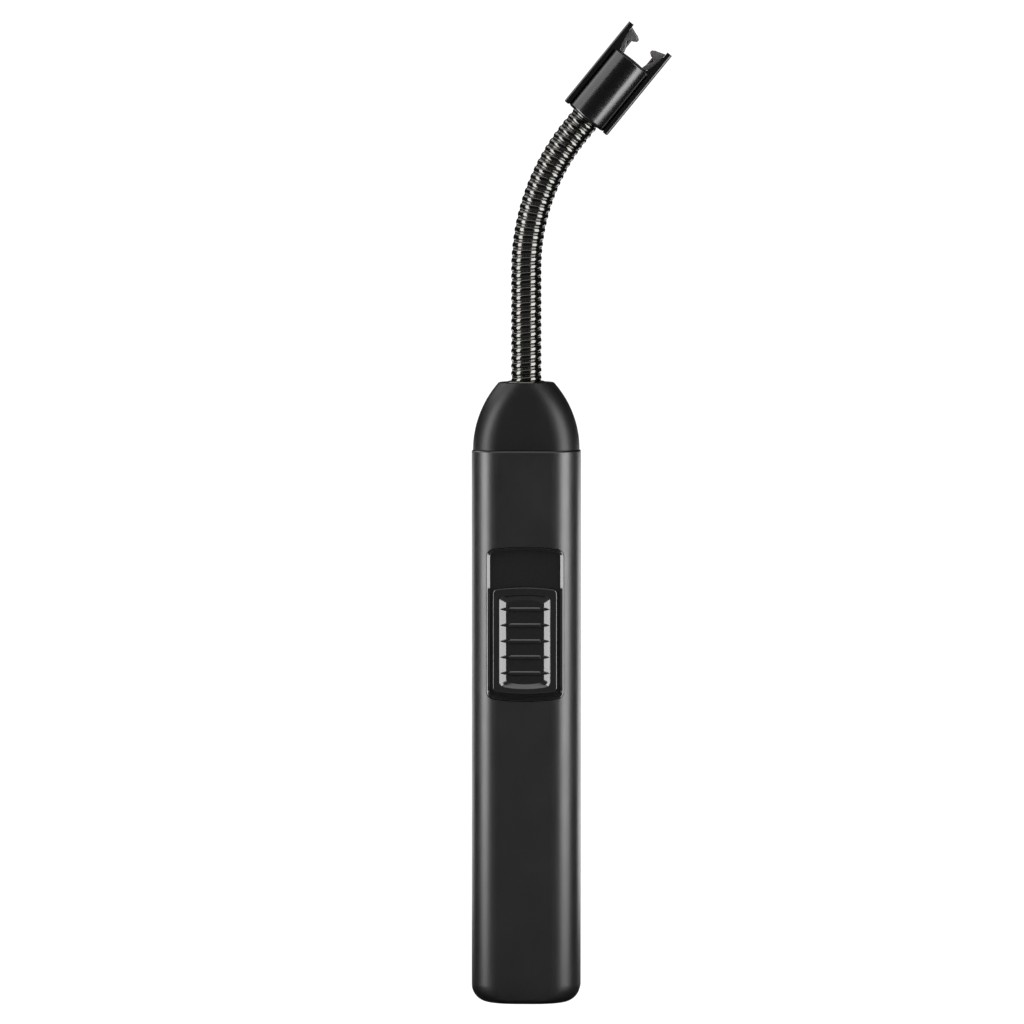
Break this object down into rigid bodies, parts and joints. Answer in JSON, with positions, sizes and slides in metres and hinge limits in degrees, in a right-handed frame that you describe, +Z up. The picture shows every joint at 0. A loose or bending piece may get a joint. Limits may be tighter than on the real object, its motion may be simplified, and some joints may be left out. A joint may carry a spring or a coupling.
{
  "type": "rechargeable arc lighter",
  "caption": "Slim black rechargeable arc lighter: rounded-rectangular body, sliding thumb switch, tapered nose and a ribbed flexible neck with a two-prong spark head.",
  "frame": {"origin": "centre of the flat lower end that the lighter stands on", "axes": "+Z up the body towards the neck, +Y towards the back (the thumb slider faces -Y), +X to the right seen from the front, the side the neck is bent to at rest"},
  "size_m": [0.0399, 0.0158, 0.1963],
  "materials": {
    "case_black": "satin",
    "nose_black": "satin",
    "gloss_black_plastic": "gloss",
    "head_gloss_black": "gloss",
    "neck_black_chrome": "polished",
    "ceramic_grey": "satin",
    "steel": "satin",
    "nickel": "gloss",
    "tray_plastic": "matte",
    "board_green": "satin",
    "chip_black": "satin",
    "cell_wrap": "satin",
    "potting_black": "satin",
    "lead_red": "satin",
    "lead_black": "satin",
    "lead_white": "satin",
    "foam_grey": "matte",
    "clear_pipe": "gloss",
    "lamp_white": "gloss",
    "contact_brass": "satin"
  },
  "bodies": {
    "body": {"base_leads": "lead_white", "battery_cell": "cell_wrap", "battery_lead_negative": "lead_black", "battery_lead_positive": "lead_red", "battery_pad": "foam_grey", "battery_tabs": "nickel", "board_components": "chip_black", "board_screws": "steel", "body_shell": "case_black", "charge_boards": "board_green", "charge_leads": "lead_red", "charge_light": "lamp_white", "charge_light_pipe": "clear_pipe", "chassis_screws": "steel", "chassis_tray": "tray_plastic", "fixed_contacts": "contact_brass", "main_board": "board_green", "neck_base_ferrule": "neck_black_chrome", "neck_base_hose": "neck_black_chrome", "neck_lock_nut": "steel", "neck_lock_washer": "steel", "nose_cone": "nose_black", "return_spring": "steel", "slide_bezel": "gloss_black_plastic", "spark_transformer": "potting_black", "usb_port_shell": "nickel", "usb_port_tongue": "chip_black"},
    "slider": {"thumb_slider": "gloss_black_plastic", "slide_carriage": "tray_plastic", "contact_leaf": "contact_brass"},
    "head": {"head_housing": "head_gloss_black", "head_core": "ceramic_grey", "head_collar": "steel", "electrode_hooks": "ceramic_grey", "electrodes": "steel", "neck_end_hose": "neck_black_chrome", "head_leads": "lead_white"},
    "neck_link_01": {"neck_link_01": "neck_black_chrome", "neck_leads_01": "lead_white"},
    "neck_link_02": {"neck_link_02": "neck_black_chrome", "neck_leads_02": "lead_white"},
    "neck_link_03": {"neck_link_03": "neck_black_chrome", "neck_leads_03": "lead_white"},
    "neck_link_04": {"neck_link_04": "neck_black_chrome", "neck_leads_04": "lead_white"},
    "neck_link_05": {"neck_link_05": "neck_black_chrome", "neck_leads_05": "lead_white"},
    "neck_link_06": {"neck_link_06": "neck_black_chrome", "neck_leads_06": "lead_white"},
    "neck_link_07": {"neck_link_07": "neck_black_chrome", "neck_leads_07": "lead_white"},
    "neck_link_08": {"neck_link_08": "neck_black_chrome", "neck_leads_08": "lead_white"},
    "neck_link_09": {"neck_link_09": "neck_black_chrome", "neck_leads_09": "lead_white"},
    "neck_link_10": {"neck_link_10": "neck_black_chrome", "neck_leads_10": "lead_white"},
    "neck_link_11": {"neck_link_11": "neck_black_chrome", "neck_leads_11": "lead_white"}
  },
  "joints": [
    {"name": "thumb_slide", "type": "slide", "parent": "body", "child": "slider", "axis": [0, 0, 1], "range_m": [0, 0.007], "stiffness_N_per_m": 150, "springref_m": -0.005, "deforming": ["return_spring"]},
    {"name": "neck_lower_sway", "type": "hinge", "parent": "body", "child": "neck_link_01", "pos_m": [0, 0, 0.12645], "axis": [1, 0, 0], "range_deg": [-10, 10]},
    {"name": "neck_lower_bend", "type": "hinge", "parent": "neck_link_01", "child": "neck_link_02", "pos_m": [0, 0, 0.13095], "axis": [0, 1, 0], "range_deg": [-15, 15]},
    {"name": "neck_lower_sway_02", "type": "hinge", "parent": "neck_link_02", "child": "neck_link_03", "pos_m": [0, 0, 0.13545], "axis": [1, 0, 0], "range_deg": [-10, 10]},
    {"name": "neck_lower_bend_03", "type": "hinge", "parent": "neck_link_03", "child": "neck_link_04", "pos_m": [0, 0, 0.13995], "axis": [0, 1, 0], "range_deg": [-15, 15]},
    {"name": "neck_lower_sway_04", "type": "hinge", "parent": "neck_link_04", "child": "neck_link_05", "pos_m": [0, 0, 0.14445], "axis": [1, 0, 0], "range_deg": [-10, 10]},
    {"name": "neck_upper_bend", "type": "hinge", "parent": "neck_link_05", "child": "neck_link_06", "pos_m": [0, 0, 0.14895], "axis": [0, 1, 0], "range_deg": [-24.8, 5.2]},
    {"name": "neck_upper_sway", "type": "hinge", "parent": "neck_link_06", "child": "neck_link_07", "pos_m": [0.00068, 0, 0.1534], "axis": [0.9884, 0, -0.1521], "range_deg": [-20, 20]},
    {"name": "neck_upper_bend_07", "type": "hinge", "parent": "neck_link_07", "child": "neck_link_08", "pos_m": [0.00137, 0, 0.15785], "axis": [0, 1, 0], "range_deg": [-24.8, 5.2]},
    {"name": "neck_upper_sway_08", "type": "hinge", "parent": "neck_link_08", "child": "neck_link_09", "pos_m": [0.00295, 0, 0.16206], "axis": [0.9362, 0, -0.3515], "range_deg": [-20, 20]},
    {"name": "neck_upper_bend_09", "type": "hinge", "parent": "neck_link_09", "child": "neck_link_10", "pos_m": [0.00453, 0, 0.16627], "axis": [0, 1, 0], "range_deg": [-24.8, 5.2]},
    {"name": "neck_upper_sway_10", "type": "hinge", "parent": "neck_link_10", "child": "neck_link_11", "pos_m": [0.00694, 0, 0.17007], "axis": [0.8442, 0, -0.536], "range_deg": [-20, 20]},
    {"name": "neck_upper_bend_11", "type": "hinge", "parent": "neck_link_11", "child": "head", "pos_m": [0.00936, 0, 0.17387], "axis": [0, 1, 0], "range_deg": [-24.8, 5.2]}
  ],
  "couplings": [
    {"joint": "neck_lower_sway_02", "follows": "neck_lower_sway", "ratio": 1},
    {"joint": "neck_lower_bend_03", "follows": "neck_lower_bend", "ratio": 1},
    {"joint": "neck_lower_sway_04", "follows": "neck_lower_sway", "ratio": 1},
    {"joint": "neck_upper_bend_07", "follows": "neck_upper_bend", "ratio": 1},
    {"joint": "neck_upper_sway_08", "follows": "neck_upper_sway", "ratio": 1},
    {"joint": "neck_upper_bend_09", "follows": "neck_upper_bend", "ratio": 1},
    {"joint": "neck_upper_sway_10", "follows": "neck_upper_sway", "ratio": 1},
    {"joint": "neck_upper_bend_11", "follows": "neck_upper_bend", "ratio": 1}
  ]
}
